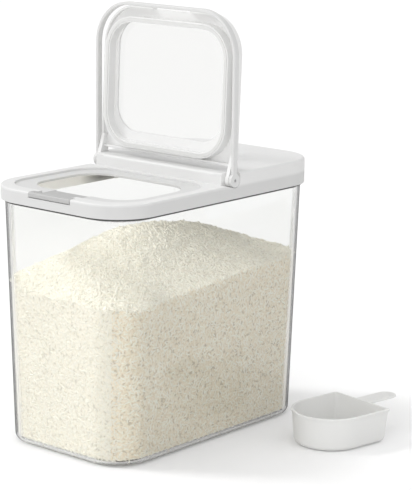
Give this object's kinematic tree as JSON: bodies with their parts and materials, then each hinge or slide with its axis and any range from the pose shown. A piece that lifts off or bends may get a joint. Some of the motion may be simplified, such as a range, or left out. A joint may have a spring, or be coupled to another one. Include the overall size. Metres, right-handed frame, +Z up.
{
  "type": "rice storage bin",
  "caption": "Clear drafted storage bin of rice with a push-on lid, a hinged flip lid with a window, a folding bail handle, a press latch and a D-shaped scoop.",
  "frame": {"origin": "centre of the tub's foot, on the surface that it stands on", "axes": "+Z up, +Y from the latch towards the rear plateau, +X to the right seen from the latch"},
  "size_m": [0.299, 0.3062, 0.4165],
  "materials": {
    "tub_plastic": "clear, polished",
    "rice": "ivory rice grains",
    "white_plastic": "satin moulded",
    "seal": "translucent white silicone",
    "pin_steel": "drawn wire",
    "window_plastic": "clear, polished",
    "latch_grey": "satin moulded",
    "scoop_plastic": "satin moulded"
  },
  "bodies": {
    "bin": {"tub": "tub_plastic", "rice_fill": "rice"},
    "lid": {"lid_shell": "white_plastic", "lid_liner": "white_plastic", "lid_gasket": "seal", "hinge_pin_left": "pin_steel", "hinge_pin_right": "pin_steel", "latch_spring_left": "pin_steel", "latch_spring_right": "pin_steel"},
    "flip_lid": {"flip_lid_frame": "white_plastic", "flip_lid_window": "window_plastic", "flip_lid_gasket": "seal"},
    "handle": {"handle": "white_plastic"},
    "latch": {"latch_button": "latch_grey"},
    "scoop": {"scoop": "scoop_plastic"}
  },
  "joints": [
    {"name": "lid_lift", "type": "slide", "parent": "bin", "child": "lid", "axis": [0, 0, 1], "range_m": [0, 0.08]},
    {"name": "flip_lid_hinge", "type": "hinge", "parent": "lid", "child": "flip_lid", "pos_m": [0, 0.012, 0.2565], "axis": [1, 0, 0], "range_deg": [0, 92.5]},
    {"name": "handle_hinge", "type": "hinge", "parent": "lid", "child": "handle", "pos_m": [0, 0.012, 0.2565], "axis": [1, 0, 0], "range_deg": [0, 90]},
    {"name": "latch_press", "type": "slide", "parent": "lid", "child": "latch", "axis": [0, 1, 0], "range_m": [0, 0.002], "stiffness_N_per_m": 600, "springref_m": -0.0015, "deforming": ["latch_spring_left", "latch_spring_right"]},
    {"name": "scoop_lift", "type": "slide", "parent": "bin", "child": "scoop", "axis": [0, 0, 1], "range_m": [0, 0.12]}
  ]
}
